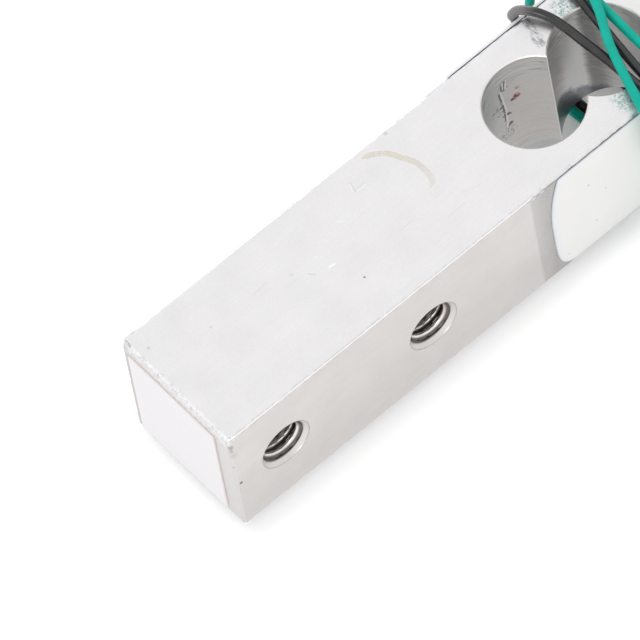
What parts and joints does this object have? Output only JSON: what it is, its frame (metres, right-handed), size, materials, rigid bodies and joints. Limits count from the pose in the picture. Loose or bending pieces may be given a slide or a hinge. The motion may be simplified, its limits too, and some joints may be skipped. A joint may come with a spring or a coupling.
{
  "type": "miniature bar load cell",
  "caption": "Miniature bending-beam load cell: square metal bar with a double bore at its middle, potted strain gauges, tapped ends and thin leads wound round it.",
  "frame": {"origin": "centre of the bar, midway between its ends and between all four long faces", "axes": "+X along the bar from the labelled M4 end towards the M5 end, -Y out of the gauged face that the leads leave, +Z along the double bore, up as the part lies"},
  "size_m": [0.0801, 0.021, 0.0153],
  "materials": {
    "bar": "bare, finely brushed, with small scuffs and dinged edges",
    "carrier": "amber polyimide film",
    "foil": "etched constantan foil",
    "strip": "glass-filled laminate",
    "solder": "bright solder",
    "enamel": "enamelled copper wire",
    "silicone": "white silicone, slightly translucent at its rim",
    "paper": "matt white, blank",
    "black_jacket": "soft wire jacket",
    "green_jacket": "soft wire jacket",
    "tinned": "tinned copper strands"
  },
  "bodies": {
    "root": {"black_lead": "black_jacket", "black_lead_root": "tinned", "black_lead_tip": "tinned", "end_label": "paper", "gauge_carrier_back_left": "carrier", "gauge_carrier_back_right": "carrier", "gauge_carrier_front_left": "carrier", "gauge_carrier_front_right": "carrier", "gauge_grid_back_left": "foil", "gauge_grid_back_right": "foil", "gauge_grid_front_left": "foil", "gauge_grid_front_right": "foil", "green_lead": "green_jacket", "green_lead_root": "tinned", "green_lead_tip": "tinned", "jumper_back_left_1": "enamel", "jumper_back_left_2": "enamel", "jumper_back_right_1": "enamel", "jumper_back_right_2": "enamel", "jumper_front_left_1": "enamel", "jumper_front_left_2": "enamel", "jumper_front_right_1": "enamel", "jumper_front_right_2": "enamel", "link_wire_1": "enamel", "link_wire_2": "enamel", "link_wire_3": "enamel", "link_wire_4": "enamel", "potting_back": "silicone", "potting_front": "silicone", "solder_back_1": "solder", "solder_back_2": "solder", "solder_back_3": "solder", "solder_back_4": "solder", "solder_front_1": "solder", "solder_front_2": "solder", "solder_front_3": "solder", "solder_front_4": "solder", "spring_element": "bar", "terminal_strip_back": "strip", "terminal_strip_front": "strip"}
  },
  "joints": []
}
